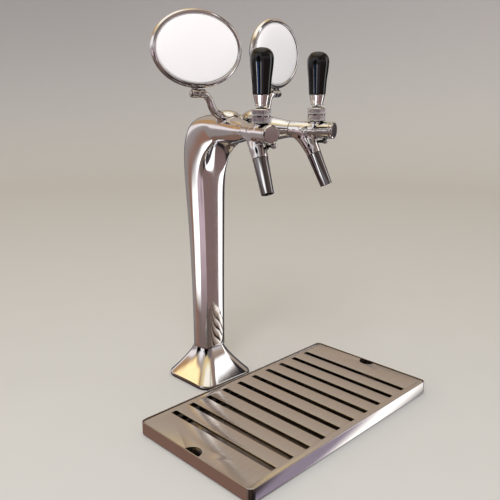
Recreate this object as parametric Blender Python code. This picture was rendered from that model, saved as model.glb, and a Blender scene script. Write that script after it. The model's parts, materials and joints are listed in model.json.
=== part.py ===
"""Two-tap beer tower with oval light medallions and a slotted drip tray. Metres, +Z up.

The origin is the middle of the foot's underside, on the counter. The taps reach towards -Y.
Standalone: blender --background --python part.py
"""

import math

import bmesh
import bpy
from mathutils import Matrix, Vector

GAP = 0.0003  # clearance between pieces that touch

# Foot and column
FOOT_HALF = 0.0545  # half width of the square foot
FOOT_CORNER = 0.022
FOOT_LIP = 0.0055  # height of the vertical lip
NECK_Z = 0.055  # seam between the foot and the column
NECK_R = 0.0245
NECK_FRONT = 0.0195  # distance from the axis to the flat front
WALL = 0.0025
PLATE = 0.004  # thickness of the steel base plate

# Arms and taps
SPLAY = math.radians(17.5)  # each arm's angle from straight ahead
ARM_Y = 0.002  # where both arm axes meet, behind the foot's middle
ARM_Z = 0.4195  # height of the arm axes
ARM_R = 0.0195
TAP_T = 0.1875  # handle axis, along the arm
TAP_R = 0.0118
SPOUT_TILT = math.radians(24.9)  # spout's lean from the vertical
SPOUT_U = -0.0183  # where the spout axis crosses the tap's own axis
SEAM = 0.0367  # distance down the spout to the nozzle
TIP = 0.0857  # distance down the spout to its mouth
PIVOT = 0.0265  # lever ball's height over the tap axis
PISTON_BORE = 0.0069

# Medallions
MED_TURN = math.radians(12.4)  # each face looks this far outwards
MED_X, MED_Y, MED_PIVOT_Z = 0.0772, -0.0762, 0.470
MED_A, MED_B = 0.069, 0.0513  # half width and half height
MED_RISE = 0.0584  # from the tilt axis up to the oval's centre
KNUCKLE_R = 0.0058

# Drip tray
TRAY_L, TRAY_W, TRAY_H = 0.400, 0.2226, 0.0210
TRAY_Y = -0.190
TRAY_CORNER = 0.008
TRAY_WALL = 0.0012
SLOTS, SLOT_PITCH, SLOT_L, SLOT_W = 10, 0.0330, 0.200, 0.0095
GRID_TOP = 0.0198
GRID_T = 0.0015


# ---------------------------------------------------------------- helpers


def material(name, colour, roughness, metallic):
    """One Principled material for a piece."""
    made = bpy.data.materials.new(name)
    made.use_nodes = True
    shader = made.node_tree.nodes["Principled BSDF"]
    shader.inputs["Base Color"].default_value = (*colour, 1)
    shader.inputs["Roughness"].default_value = roughness
    shader.inputs["Metallic"].default_value = metallic
    return made


LOOKS = {
    "chrome": ((0.80, 0.79, 0.78), 0.06, 1.0),
    "steel": ((0.66, 0.63, 0.60), 0.28, 1.0),
    "brass": ((0.72, 0.52, 0.22), 0.25, 1.0),
    "black": ((0.012, 0.012, 0.014), 0.08, 0.0),
    "white": ((0.90, 0.90, 0.89), 0.10, 0.0),
    "board": ((0.05, 0.22, 0.10), 0.50, 0.0),
    "rubber": ((0.03, 0.03, 0.03), 0.70, 0.0),
    "hose": ((0.75, 0.76, 0.74), 0.35, 0.0),
}


def make(name, bm, look, parent=None, at=(0, 0, 0), turn=None):
    """Turns a bmesh into a named, smooth-shaded object with a material of its own."""
    bmesh.ops.recalc_face_normals(bm, faces=bm.faces)
    mesh = bpy.data.meshes.new(name)
    bm.to_mesh(mesh)
    bm.free()
    mesh.shade_smooth()
    mesh.set_sharp_from_angle(angle=math.radians(35))
    mesh.materials.append(material(name, *LOOKS[look]))
    made = bpy.data.objects.new(name, mesh)
    bpy.context.scene.collection.objects.link(made)
    made.parent = parent
    made.location = at
    if turn:
        made.rotation_euler = turn
    return made


def hide(helper):
    helper.hide_render = True
    helper.display_type = "WIRE"
    return helper


def combine(target, helper, operation):
    """Joins or cuts the target with a hidden helper solid."""
    boolean = target.modifiers.new(helper.name, "BOOLEAN")
    boolean.object = hide(helper)
    boolean.operation = operation
    boolean.solver = "EXACT"


def cut(target, *helpers):
    for helper in helpers:
        combine(target, helper, "DIFFERENCE")


def join(target, *helpers):
    for helper in helpers:
        combine(target, helper, "UNION")


def loft(rings, loop=False):
    """A closed body through rings of points: capped at both ends, or running round into itself."""
    bm = bmesh.new()
    rows = [[bm.verts.new(point) for point in points] for points in rings]
    pairs = list(zip(rows, rows[1:]))
    if loop:
        pairs.append((rows[-1], rows[0]))
    for low, high in pairs:
        count = len(low)
        for i in range(count):
            j = (i + 1) % count
            bm.faces.new((low[i], low[j], high[j], high[i]))
    if not loop:
        bm.faces.new(rows[0][::-1])
        bm.faces.new(rows[-1])
    return bm


def circle(radius, height, sides):
    step = 2 * math.pi / sides
    return [
        Vector((radius * math.cos(i * step), radius * math.sin(i * step), height))
        for i in range(sides)
    ]


def turned(profile, sides=24, loop=False):
    """A turned piece about +Z from (radius, height) points."""
    return loft([circle(r, z, sides) for r, z in profile], loop)


def rod(radius, low, high, sides=24):
    return turned([(radius, low), (radius, high)], sides)


def ball_profile(radius, centre, start, end, steps):
    """Points on a ball's outline between two angles, measured from straight down."""
    points = []
    for i in range(steps + 1):
        angle = math.radians(start + (end - start) * i / steps)
        points.append((radius * math.sin(angle), centre - radius * math.cos(angle)))
    return points


def rounded_square(half_x, half_y, corner, height, per_corner=6, per_side=1):
    """A rectangle with round corners, drawn anticlockwise."""
    points = []
    for quarter in range(4):
        sx = (1, -1, -1, 1)[quarter]
        sy = (1, 1, -1, -1)[quarter]
        centre = Vector((sx * (half_x - corner), sy * (half_y - corner), height))
        for i in range(per_corner + 1):
            angle = math.pi / 2 * (quarter + i / per_corner)
            out = Vector((math.cos(angle), math.sin(angle), 0))
            points.append(centre + corner * out)
        far = centre + corner * out
        run = (half_x if quarter % 2 == 0 else half_y) - corner
        ahead = Vector((-out.y, out.x, 0)) * 2 * run / per_side
        points += [far + ahead * k for k in range(1, per_side)]
    return points


def oval(half_x, half_z, depth, sides=28):
    """An upright oval, as seen from the front."""
    step = 2 * math.pi / sides
    return [
        Vector((half_x * math.cos(i * step), depth, half_z * math.sin(i * step)))
        for i in range(sides)
    ]


def box(low, high):
    bm = bmesh.new()
    bmesh.ops.create_cube(bm, size=1)
    size = Vector(high) - Vector(low)
    middle = (Vector(high) + Vector(low)) / 2
    bmesh.ops.scale(bm, verts=bm.verts, vec=size)
    bmesh.ops.translate(bm, verts=bm.verts, vec=middle)
    return bm


def smooth_path(points, steps):
    """Points on a Catmull-Rom curve through the given points."""
    ends = [2 * points[0] - points[1], *points, 2 * points[-1] - points[-2]]
    path = []
    for a, b, c, d in zip(ends, ends[1:], ends[2:], ends[3:]):
        for i in range(steps):
            t = i / steps
            path.append(
                0.5
                * (
                    2 * b
                    + (c - a) * t
                    + (2 * a - 5 * b + 4 * c - d) * t**2
                    + (3 * b - a - 3 * c + d) * t**3
                )
            )
    path.append(points[-1].copy())
    return path


def rings_along(path, radii, sides):
    """Circles square to a path, carried along it without twisting."""
    rings = []
    side = None
    for i, point in enumerate(path):
        ahead = path[min(i + 1, len(path) - 1)] - path[max(i - 1, 0)]
        ahead.normalize()
        if side is None:
            side = ahead.orthogonal().normalized()
        side = (side - ahead * side.dot(ahead)).normalized()
        up = ahead.cross(side)
        radius = radii[i]
        step = 2 * math.pi / sides
        rings.append(
            [
                point + radius * (math.cos(k * step) * side + math.sin(k * step) * up)
                for k in range(sides)
            ]
        )
    return rings


def pipe(path, outer, inner, sides=8):
    """A hollow tube along a path."""
    outside = rings_along(path, [outer] * len(path), sides)
    inside = rings_along(path, [inner] * len(path), sides)
    return loft(outside + inside[::-1], loop=True)


def empty(name, at, turn_z):
    made = bpy.data.objects.new(name, None)
    bpy.context.scene.collection.objects.link(made)
    made.location = at
    made.rotation_euler = (0, 0, turn_z)
    return made


# ---------------------------------------------------------------- foot


def neck_outline(grow, height, sides=28):
    """The column's section at the seam: a circle with a flat front."""
    points = []
    for i in range(sides):
        angle = 2 * math.pi * i / sides + math.pi / 4
        x = (NECK_R + grow) * math.cos(angle)
        y = ARM_Y + (NECK_R + grow) * math.sin(angle)
        points.append(Vector((x, max(y, -NECK_FRONT - grow), height)))
    return points


def foot_outline(share, grow, height):
    """The foot's section, from the square bottom (share 0) to the neck (share 1)."""
    half = FOOT_HALF + grow
    square = rounded_square(half, half, FOOT_CORNER + grow, height, 3, 3)
    angles = [math.atan2(p.y, p.x) for p in square]
    points = []
    for corner, angle in zip(square, angles):
        x = (NECK_R + 0.0004 + grow) * math.cos(angle)
        y = ARM_Y + (NECK_R + 0.0004 + grow) * math.sin(angle)
        neck = Vector((x, max(y, -NECK_FRONT - grow), height))
        points.append(corner.lerp(neck, share))
    return points


def foot_skirt():
    """The hollow flared foot: an upright lip, then concave sides up to the neck."""
    outer = [foot_outline(0, 0, 0.0019), foot_outline(0, 0, FOOT_LIP)]
    inner = [foot_outline(0, -WALL, 0.0019), foot_outline(0, -WALL, FOOT_LIP - 0.001)]
    steps = 5
    for i in range(1, steps + 1):
        rise = i / steps
        height = FOOT_LIP + rise * (NECK_Z - FOOT_LIP)
        share = 1 - (1 - rise) ** 1.32
        outer.append(foot_outline(share, 0, height))
        inner.append(foot_outline(share, -WALL, height - 0.001 * (1 - rise)))
    make("foot_skirt", loft(outer + inner[::-1], loop=True), "chrome")


def foot_gasket():
    """The thin rubber ring that the skirt stands on."""
    outer = FOOT_HALF - 0.0008
    inner = FOOT_HALF - 0.0048
    rings = [
        rounded_square(outer, outer, FOOT_CORNER, 0),
        rounded_square(outer, outer, FOOT_CORNER, 0.0016),
        rounded_square(inner, inner, FOOT_CORNER - 0.004, 0.0016),
        rounded_square(inner, inner, FOOT_CORNER - 0.004, 0),
    ]
    make("foot_gasket", loft(rings, loop=True), "rubber")


LINE_X, LINE_Y, LINE_R = 0.0125, 0.0085, 0.0040
COOL_X, COOL_Y, COOL_R = 0.0065, -0.0075, 0.0030
SCREW = 0.031


def base_plate():
    """The steel plate inside the foot, with holes for the lines and four screws."""
    half = FOOT_HALF - 0.0053
    rings = [
        rounded_square(half, half, FOOT_CORNER - 0.0045, 0),
        rounded_square(half, half, FOOT_CORNER - 0.0045, PLATE),
    ]
    plate = make("base_plate", loft(rings), "steel")
    for side in (-1, 1):
        for name, x, y, radius in (
            ("line_hole", LINE_X, LINE_Y, LINE_R),
            ("coolant_hole", COOL_X, COOL_Y, COOL_R),
        ):
            hole = rod(radius + 0.0005, -0.01, 0.02, 12)
            cut(plate, make(f"{name}_{side}", hole, "steel", at=(side * x, y, 0)))
    number = 0
    for x in (-SCREW, SCREW):
        for y in (-SCREW, SCREW):
            number += 1
            hole = rod(0.0026, -0.01, 0.02, 8)
            cut(plate, make(f"screw_hole_{number}", hole, "steel", at=(x, y, 0)))
            base_screw(number, x, y)


def base_screw(number, x, y):
    """A pan-head screw that holds the plate down."""
    top = PLATE + GAP
    profile = [(0.0021, 0.0003), (0.0021, top), (0.0045, top), (0.0045, top + 0.0014)]
    profile += [(0.0034, top + 0.0024), (0.0013, top + 0.0027)]
    make(f"base_screw_{number}", turned(profile, 12), "steel", at=(x, y, 0))


def neck_ring():
    """The sleeve inside the seam that lines the column up with the foot."""
    outer = -WALL - 0.0018
    inner = -WALL - 0.0036
    rings = [
        neck_outline(outer, NECK_Z - 0.008),
        neck_outline(outer, NECK_Z + 0.010),
        neck_outline(inner, NECK_Z + 0.010),
        neck_outline(inner, NECK_Z - 0.008),
    ]
    make("neck_ring", loft(rings, loop=True), "brass")


# ---------------------------------------------------------------- column and arms

# Sections up the column and over the bend, as (y, z) of the back or top, of the middle of the
# front or underside, and of the web at each front corner, then the half width.
SECTIONS = (
    ((0.0265, 0.0553), (-0.0195, 0.0553), (-0.0195, 0.0553), 0.0245),
    ((0.0265, 0.0750), (-0.0195, 0.0750), (-0.0195, 0.0750), 0.0245),
    ((0.0268, 0.1300), (-0.0196, 0.1300), (-0.0196, 0.1300), 0.0247),
    ((0.0284, 0.2000), (-0.0200, 0.2000), (-0.0200, 0.2000), 0.0257),
    ((0.0312, 0.2600), (-0.0204, 0.2590), (-0.0204, 0.2590), 0.0272),
    ((0.0345, 0.3100), (-0.0201, 0.3060), (-0.0200, 0.3055), 0.0289),
    ((0.0369, 0.3480), (-0.0200, 0.3400), (-0.0202, 0.3350), 0.0303),
    ((0.0365, 0.3800), (-0.0198, 0.3650), (-0.0255, 0.3520), 0.0314),
    ((0.0302, 0.4085), (-0.0195, 0.3830), (-0.0345, 0.3635), 0.0322),
    ((0.0152, 0.4302), (-0.0210, 0.4000), (-0.0445, 0.3725), 0.0326),
    ((-0.0080, 0.4392), (-0.0330, 0.4095), (-0.0540, 0.3805), 0.0332),
    ((-0.0330, 0.4400), (-0.0480, 0.4110), (-0.0615, 0.3905), 0.0345),
)
# Control rings along each arm past the fork: (distance along the arm, radius).
ARM_RINGS = (
    (0.0780, 0.0196),
    (0.0960, 0.0193),
    (0.1130, 0.0183),
    (0.1270, 0.0160),
    (0.1370, 0.0136),
    (0.1430, 0.0123),
    (0.1477, 0.0119),
)
CAGE_12 = 1 / ((2 + math.cos(math.radians(30))) / 3)  # control ring over limit circle, 12 points
CAGE_8 = 1 / ((2 + math.cos(math.radians(45))) / 3)


def arm_frame(side):
    """Local X runs out along the arm, Z up, from the point where the arm axes meet."""
    turn = -math.pi / 2 + side * SPLAY
    return Matrix.Translation((0, ARM_Y, ARM_Z)) @ Matrix.Rotation(turn, 4, "Z")


def column_ring(section, grow):
    """Twelve control points round a section of the column, from the back round to the front.

    The front is nearly flat low down. Higher up its corners run forward as two webs, under the arms.
    """
    back, front, web, half = (Vector((0, *p)) if isinstance(p, tuple) else p for p in section)
    middle = (back + front) / 2
    out = (back - front).normalized()
    depth = ((back - front).length / 2 + grow) * 1.03
    width = (half + grow) * CAGE_12
    points = []
    for k in range(7):
        angle = k * math.pi / 6
        across = Vector((math.sin(angle) * width, 0, 0))
        points.append(middle + out * math.cos(angle) * depth + across)
    push = 0.03 + grow / depth
    forward = (web - middle) * (1 + push)
    points[4] = middle + forward * 0.86 + Vector((0.88 * width, 0, 0))
    points[5] = front.lerp(web, 0.22) + (front - middle) * push + Vector((0.52 * width, 0, 0))
    return points + [Vector((-p.x, p.y, p.z)) for p in points[5:0:-1]]


def arm_ring(side, distance, radius, grow):
    """Eight control points round an arm, from its inner top round over the outside."""
    frame = arm_frame(side)
    points = []
    for k in range(8):
        angle = math.radians(-45 + 45 * k)
        wide = math.sin(angle) * side
        local = Vector((distance, (radius + grow) * CAGE_8 * wide, 0))
        local.z = (radius + grow) * CAGE_8 * math.cos(angle)
        points.append(frame @ local)
    return points


def fork_ring(grow):
    """Twelve control points round the two arms just before they part, with the webs below."""
    top = Vector((0, -0.0530, 0.4375 + grow))
    under = Vector((0, -0.0610, 0.4110 - grow))
    halves = []
    for side in (1, -1):
        half = arm_ring(side, 0.0600, ARM_R, grow)[1:6]
        half[3].z -= 0.0030
        half[4].z -= 0.0010
        halves.append(half)
    return [top, *halves[0], under, *halves[1][::-1]]


def quads(bm, low, high, count, closed=True):
    for i in range(count if closed else count - 1):
        j = (i + 1) % count
        bm.faces.new((low[i], low[j], high[j], high[i]))


def casting_cage(grow=0.0, capped=False):
    """The control mesh of the column, the bend and both arms, as one skin."""
    bm = bmesh.new()
    rows = [[bm.verts.new(p) for p in column_ring(s, grow)] for s in SECTIONS]
    fork = [bm.verts.new(p) for p in fork_ring(grow)]
    rows.append(fork)
    for low, high in zip(rows, rows[1:]):
        quads(bm, low, high, 12)
    crotch = bm.verts.new((0, -0.0740, ARM_Z))
    if capped:
        bm.faces.new(rows[0][::-1])
    for side in (-1, 1):
        ring = fork[0:7] if side > 0 else [fork[0], *fork[11:5:-1]]
        ring = [*ring, crotch]
        for distance, radius in ARM_RINGS:
            following = [bm.verts.new(p) for p in arm_ring(side, distance, radius, grow)]
            quads(bm, ring, following, 8)
            ring = following
        if capped:
            bm.faces.new(ring)
    return bm


def tower_body():
    """The chromed casting: a hollow skin, open at the foot and at each arm's end."""
    body = make("tower_body", casting_cage(), "chrome")
    smooth = body.modifiers.new("smooth", "SUBSURF")
    smooth.levels = 1
    smooth.render_levels = 1
    wall = body.modifiers.new("wall", "SOLIDIFY")
    wall.thickness = WALL
    wall.offset = -1


def casting_cutter(name):
    """The casting's outside with a little clearance, to shape what sits on it."""
    cutter = make(name, casting_cage(0.0004, True), "chrome")
    smooth = cutter.modifiers.new("smooth", "SUBSURF")
    smooth.levels = 2
    smooth.render_levels = 2
    return cutter


def arm_point(side, along, across=0.0, up=0.0):
    return arm_frame(side) @ Vector((along, across * side, up))


def beer_lines():
    """One hose for each tap, from the plate up the column and out along the arm."""
    for side, name in ((-1, "left"), (1, "right")):
        points = [
            Vector((side * LINE_X, LINE_Y, GAP)),
            Vector((side * LINE_X, LINE_Y, 0.150)),
            Vector((side * LINE_X, LINE_Y, 0.300)),
            Vector((side * LINE_X, 0.0075, 0.360)),
            Vector((side * 0.0125, -0.0040, 0.396)),
            Vector((side * 0.0150, -0.0300, 0.414)),
            arm_point(side, 0.070),
            arm_point(side, 0.098),
            arm_point(side, 0.1235),
        ]
        path = smooth_path(points, 2)
        make(f"beer_line_{name}", pipe(path, LINE_R, 0.0027), "hose")


def coolant_tube():
    """The cooling loop: up one side of the column and down the other."""
    points = [Vector((-COOL_X, COOL_Y, GAP)), Vector((-COOL_X, COOL_Y, 0.20))]
    top = 0.352
    for i in range(7):
        angle = math.pi * (1 - i / 6)
        x = COOL_X * math.cos(angle)
        points.append(Vector((x, COOL_Y, top + COOL_X * math.sin(angle))))
    points += [Vector((COOL_X, COOL_Y, 0.20)), Vector((COOL_X, COOL_Y, GAP))]
    make("coolant_tube", pipe(points, COOL_R, 0.0021, 8), "steel")


# ---------------------------------------------------------------- taps


def along_x(bm):
    """Lays a piece turned about Z along X."""
    bmesh.ops.rotate(bm, verts=bm.verts, matrix=Matrix.Rotation(math.pi / 2, 3, "Y"))
    return bm


def along_y(bm):
    bmesh.ops.rotate(bm, verts=bm.verts, matrix=Matrix.Rotation(-math.pi / 2, 3, "X"))
    return bm


def down_spout(bm):
    """Lays a piece turned about Z down the spout's axis."""
    turn = Matrix.Rotation(math.pi - SPOUT_TILT, 4, "Y")
    bmesh.ops.transform(bm, verts=bm.verts, matrix=Matrix.Translation((SPOUT_U, 0, 0)) @ turn)
    return bm


def spout_point(distance, ahead=0.0):
    """A point down the spout's axis, moved ahead of it square to the axis."""
    x = SPOUT_U + distance * math.sin(SPOUT_TILT) + ahead * math.cos(SPOUT_TILT)
    z = -distance * math.cos(SPOUT_TILT) + ahead * math.sin(SPOUT_TILT)
    return Vector((x, 0, z))


def spout_root():
    """The flare that carries the arm's underside into the back of the spout."""
    bm = bmesh.new()
    for distance, ahead, radius in ((0.006, -0.0105, 0.0090), (0.017, -0.0030, 0.0102)):
        centre = spout_point(distance, ahead)
        for i in range(20):
            angle = math.pi * i / 10
            across = Vector((0, math.sin(angle), 0))
            along = Vector((math.cos(SPOUT_TILT), 0, math.sin(SPOUT_TILT)))
            bm.verts.new(centre + radius * (math.cos(angle) * along + across))
    centre = spout_point(0.030)
    for i in range(20):
        angle = math.pi * i / 10
        along = Vector((math.cos(SPOUT_TILT), 0, math.sin(SPOUT_TILT)))
        across = Vector((0, math.sin(angle), 0))
        bm.verts.new(centre + 0.0107 * (math.cos(angle) * along + across))
    bmesh.ops.convex_hull(bm, input=bm.verts)
    return bm


def tap_body(name, frame):
    """The cast tap: barrel, spout root, boss for the bonnet, and the bores inside."""
    barrel = [(TAP_R, -0.0392), (TAP_R, 0.0218)]
    body = make(f"tap_body_{name}", along_x(turned(barrel)), "chrome", frame)
    spout = down_spout(turned([(0.0108, 0.002), (0.0112, 0.012), (0.0108, SEAM)], 20))
    boss = turned([(0.0100, 0.004), (0.0100, 0.0112), (0.0094, 0.0128)], 24)
    join(
        body,
        make(f"spout_{name}", spout, "chrome", frame),
        make(f"root_{name}", spout_root(), "chrome", frame),
        make(f"boss_{name}", boss, "chrome", frame),
    )
    socket = along_x(turned([(0.0074, -0.05), (0.0074, -0.0322), (0.0064, -0.0316)], 20))
    rear = along_x(rod(0.0064, -0.033, -0.0205, 20))
    seat = along_x(rod(0.0046, -0.022, -0.015, 20))
    front = along_x(rod(PISTON_BORE, -0.0175, 0.03, 20))
    bonnet = rod(0.0083, 0.0030, 0.02, 20)
    lever_slot = box((-0.0104, -0.0029, 0.0030), (0.0, 0.0029, 0.0106))
    passage = down_spout(rod(0.0056, 0.0060, SEAM + 0.01, 16))
    counterbore = down_spout(rod(0.0083, 0.0296, SEAM + 0.01, 20))
    side_hole = along_y(rod(0.0024, -0.004, 0.03, 12))
    bores = {
        "socket": socket,
        "rear": rear,
        "seat": seat,
        "front": front,
        "bonnet_hole": bonnet,
        "lever_slot": lever_slot,
        "passage": passage,
        "counterbore": counterbore,
    }
    for key, bm in bores.items():
        cut(body, make(f"{key}_{name}", bm, "chrome", frame))
    cut(body, make(f"side_hole_{name}", side_hole, "chrome", frame, FLOW_AXIS))


FLOW_AXIS = (-0.0095, 0.0, -0.0180)  # throttle axis across the spout, under the barrel


def flow_lever(name, frame):
    """The small flow-control lever on the tap's side, with its throttle in the spout."""
    turn = empty(f"flow_joint_{name}", FLOW_AXIS, 0)
    turn.parent = frame
    shaft = [(0.0020, -0.0030), (0.0020, 0.0118), (0.0042, 0.0118), (0.0042, 0.0150)]
    lever = make(f"flow_lever_{name}", along_y(turned(shaft, 12)), "chrome", turn)
    vane = box((-0.0034, -0.0036, -0.0008), (0.0034, 0.0030, 0.0008))
    path = [Vector((0, 0.0134, 0)), Vector((0.009, 0.0134, 0.0005)), Vector((0.0165, 0.0134, 0.002))]
    arm = rings_along(path, [0.0019, 0.0024, 0.0036], 10)
    knob = turned(ball_profile(0.0046, 0, 12, 168, 6), 12)
    bmesh.ops.translate(knob, verts=knob.verts, vec=(0.0180, 0.0134, 0.0022))
    join(
        lever,
        make(f"vane_{name}", vane, "chrome", turn),
        make(f"flow_arm_{name}", loft(arm), "chrome", turn),
        make(f"flow_knob_{name}", knob, "chrome", turn),
    )


def tap_fixed(name, frame):
    """What stays still on a tap: shank, fixing ring, cap, bonnet and nozzle."""
    shank = [(0.0070, -0.0620), (0.0070, -0.0325), (0.0040, -0.0325), (0.0040, -0.0620)]
    make(f"shank_{name}", along_x(turned(shank, 20, True)), "brass", frame)
    ring = [(0.0092, -0.0485), (0.0088, -0.0405), (0.0074, -0.0405), (0.0074, -0.0485)]
    make(f"shank_nut_{name}", along_x(turned(ring, 20, True)), "brass", frame)
    cap = [(0.0064, 0.0172), (0.0064, 0.0221), (0.0118, 0.0221), (0.0118, 0.0262)]
    cap += [(0.0103, 0.0275)]
    make(f"tap_cap_{name}", along_x(turned(cap)), "chrome", frame)
    make(f"bonnet_{name}", turned(bonnet_profile(), 20, True), "chrome", frame)
    nozzle = [(0.0080, 0.0312), (0.0080, SEAM + GAP), (0.0103, SEAM + GAP), (0.0085, TIP)]
    nozzle += [(0.0062, TIP), (0.0062, 0.0312)]
    make(f"nozzle_{name}", down_spout(turned(nozzle, 20, True)), "chrome", frame)
    seal = [(0.0080, 0.0299), (0.0080, 0.0309), (0.0064, 0.0309), (0.0064, 0.0299)]
    make(f"nozzle_seal_{name}", down_spout(turned(seal, 16, True)), "rubber", frame)


def bonnet_profile():
    """Two grip rings and a low crown outside; inside, room for the lever and its ball."""
    low, high = 0.0131, 0.0307
    return [
        (0.0110, low),
        (0.0129, low + 0.0008),
        (0.0129, 0.0212),
        (0.0120, 0.0216),
        (0.0120, 0.0223),
        (0.0129, 0.0227),
        (0.0129, high - 0.0006),
        (0.0122, high),
        (0.0104, high),
        (0.0098, 0.0313),
        (0.0056, 0.0328),
        (0.0050, 0.0325),
        (0.0062, 0.0300),
        (0.0062, 0.0262),
        (0.0062, 0.0225),
        (0.0086, 0.0200),
        (0.0086, low),
    ]


def tap_handle(name, frame):
    """The lever with its ball, the ferrule and the black grip, turning about the ball."""
    joint = empty(f"handle_joint_{name}", (0, 0, PIVOT), 0)
    joint.parent = frame
    lever = ball_profile(0.0026, -0.0202, 15, 140, 5)
    lever += ball_profile(0.0055, 0, 20, 156, 7)
    lever += [(0.0022, 0.0340)]
    make(f"handle_lever_{name}", turned(lever, 12), "steel", joint)
    ferrule = [(0.0084, 0.0082), (0.0088, 0.0086), (0.0088, 0.0098), (0.0084, 0.0104)]
    ferrule += [(0.0110, 0.0221), (0.0025, 0.0221), (0.0025, 0.0082)]
    make(f"ferrule_{name}", turned(ferrule, 20, True), "chrome", joint)
    base = [(0.0025, 0.0224), (0.0114, 0.0224), (0.0117, 0.0232), (0.0124, 0.0350)]
    base += [(0.0136, 0.0470), (0.0149, 0.0570), (0.01535, 0.0640), (0.0152, 0.0685)]
    base += [(0.0142, 0.0730), (0.0120, 0.0768), (0.0083, 0.0794), (0.0040, 0.0804)]
    grip = make(f"handle_{name}", turned(base, 20), "black", joint)
    cut(grip, make(f"grip_bore_{name}", rod(0.0025, 0.01, 0.0345, 12), "black", joint))


def piston(name, frame):
    """The valve rod: a washer behind its seat and a yoke that the lever's tip moves."""
    profile = [
        (0.0056, -0.0234),
        (0.0056, -0.0208),
        (0.0020, -0.0208),
        (0.0020, -0.0066),
        (0.0064, -0.0066),
        (0.0064, -0.0032),
        (0.0020, -0.0032),
        (0.0020, 0.0032),
        (0.0064, 0.0032),
        (0.0064, 0.0110),
    ]
    make(f"piston_{name}", along_x(turned(profile, 14)), "steel", frame)


def taps():
    for side, name in ((-1, "left"), (1, "right")):
        frame = empty(f"tap_{name}", arm_point(side, TAP_T), -math.pi / 2 + side * SPLAY)
        tap_body(name, frame)
        tap_fixed(name, frame)
        tap_handle(name, frame)
        piston(name, frame)
        flow_lever(name, frame)


# ---------------------------------------------------------------- medallions


def bracket(side, name, frame):
    """A saddle on the arm, a stem that swings up and outwards, and an eye for the pin."""
    saddle = turned(ball_profile(1, 0, 10, 170, 8), 18)
    bmesh.ops.scale(saddle, verts=saddle.verts, vec=(0.0190, 0.0185, 0.0135))
    made = make(f"med_bracket_{name}", saddle, "chrome", at=arm_point(side, 0.088, 0, 0.0140))
    made.rotation_euler = (0, 0, -math.pi / 2 + side * SPLAY)
    stem = [
        (0.0715, -0.0773, 0.4700),
        (0.0650, -0.0782, 0.4672),
        (0.0598, -0.0790, 0.4608),
        (0.0568, -0.0797, 0.4525),
        (0.0522, -0.0806, 0.4455),
        (0.0440, -0.0820, 0.4405),
        (0.0330, -0.0835, 0.4365),
    ]
    path = smooth_path([Vector((side * x, y, z)) for x, y, z in stem], 2)
    count = len(path)
    radii = [0.0050 + 0.0018 * (i / (count - 1)) ** 2 for i in range(count)]
    outer = -side * 0.0013
    inner = -side * 0.0090
    eye = rod(KNUCKLE_R, min(outer, inner), max(outer, inner), 16)
    join(
        made,
        make(f"stem_{name}", loft(rings_along(path, radii, 10)), "chrome"),
        make(f"eye_{name}", along_x(eye), "chrome", frame),
    )
    low, high = sorted((-side * 0.0083, side * 0.012))
    bore = along_x(rod(0.0028, low, high, 12))
    low, high = sorted((-side * 0.0010, side * 0.020))
    clear = along_x(rod(0.0078, low, high, 20))
    cut(
        made,
        make(f"eye_bore_{name}", bore, "chrome", frame),
        make(f"lug_room_{name}", clear, "chrome", frame),
        casting_cutter(f"arm_shape_{name}"),
    )


def housing_ring(inset, depth):
    ring = oval(MED_A - inset, MED_B - inset, depth)
    return [p + Vector((0, 0, MED_RISE)) for p in ring]


def medallion(side, name):
    """The tilting oval: chromed dish, lamp board and white lens, on its pin."""
    turn = side * MED_TURN
    frame = empty(f"med_joint_{name}", (side * MED_X, MED_Y, MED_PIVOT_Z), turn)
    bracket(side, name, frame)
    dish = (
        (0.032, 0.0100),
        (0.013, 0.0088),
        (0.004, 0.0052),
        (0.000, 0.0010),
        (0.000, -0.0010),
        (0.0022, -0.0042),
        (0.0050, -0.0050),
        (0.0068, -0.0040),
        (0.0068, -0.0015),
        (0.0085, -0.0015),
        (0.0085, 0.0035),
        (0.018, 0.0072),
    )
    housing = make(f"med_housing_{name}", loft([housing_ring(*p) for p in dish]), "chrome", frame)
    low, high = sorted((-side * 0.0008, side * 0.0110))
    barrel = along_x(rod(KNUCKLE_R, low, high, 16))
    web = box((low + 0.0005, -0.0030, 0.002), (high - 0.0005, 0.0030, 0.0095))
    join(
        housing,
        make(f"lug_{name}", barrel, "chrome", frame),
        make(f"web_{name}", web, "chrome", frame),
    )
    cut(housing, make(f"lug_bore_{name}", along_x(rod(0.0028, -0.02, 0.02, 12)), "chrome", frame))
    lens = ((0.0071, -0.0018), (0.0071, -0.0036), (0.010, -0.0046), (0.022, -0.0055))
    lens += ((0.040, -0.0059),)
    make(f"med_lens_{name}", loft([housing_ring(*p) for p in lens]), "white", frame)
    board = ((0.0089, -0.0008), (0.0089, 0.0008))
    make(f"med_lamp_{name}", loft([housing_ring(*p) for p in board]), "board", frame)
    pin = [(0.0025, -0.0080), (0.0025, 0.0113), (0.0042, 0.0113), (0.0042, 0.0124)]
    pin += [(0.0034, 0.0130)]
    screw = turned([(r, side * x) for r, x in pin], 12)
    make(f"med_pin_{name}", along_x(screw), "steel", frame)


# ---------------------------------------------------------------- drip tray


def tray_pan(frame):
    """The shallow pan with upright walls."""
    half_l, half_w = TRAY_L / 2, TRAY_W / 2
    bottom = 0.0012
    shape = (
        (0.0012, bottom),
        (0.0, bottom + 0.0012),
        (0.0, TRAY_H),
        (TRAY_WALL, TRAY_H),
        (TRAY_WALL, bottom + 0.0024),
        (TRAY_WALL + 0.0012, bottom + 0.0012),
    )
    rings = [
        rounded_square(half_l - inset, half_w - inset, TRAY_CORNER - inset * 0.8, height, 4)
        for inset, height in shape
    ]
    make("tray_pan", loft(rings), "steel", frame)


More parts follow.
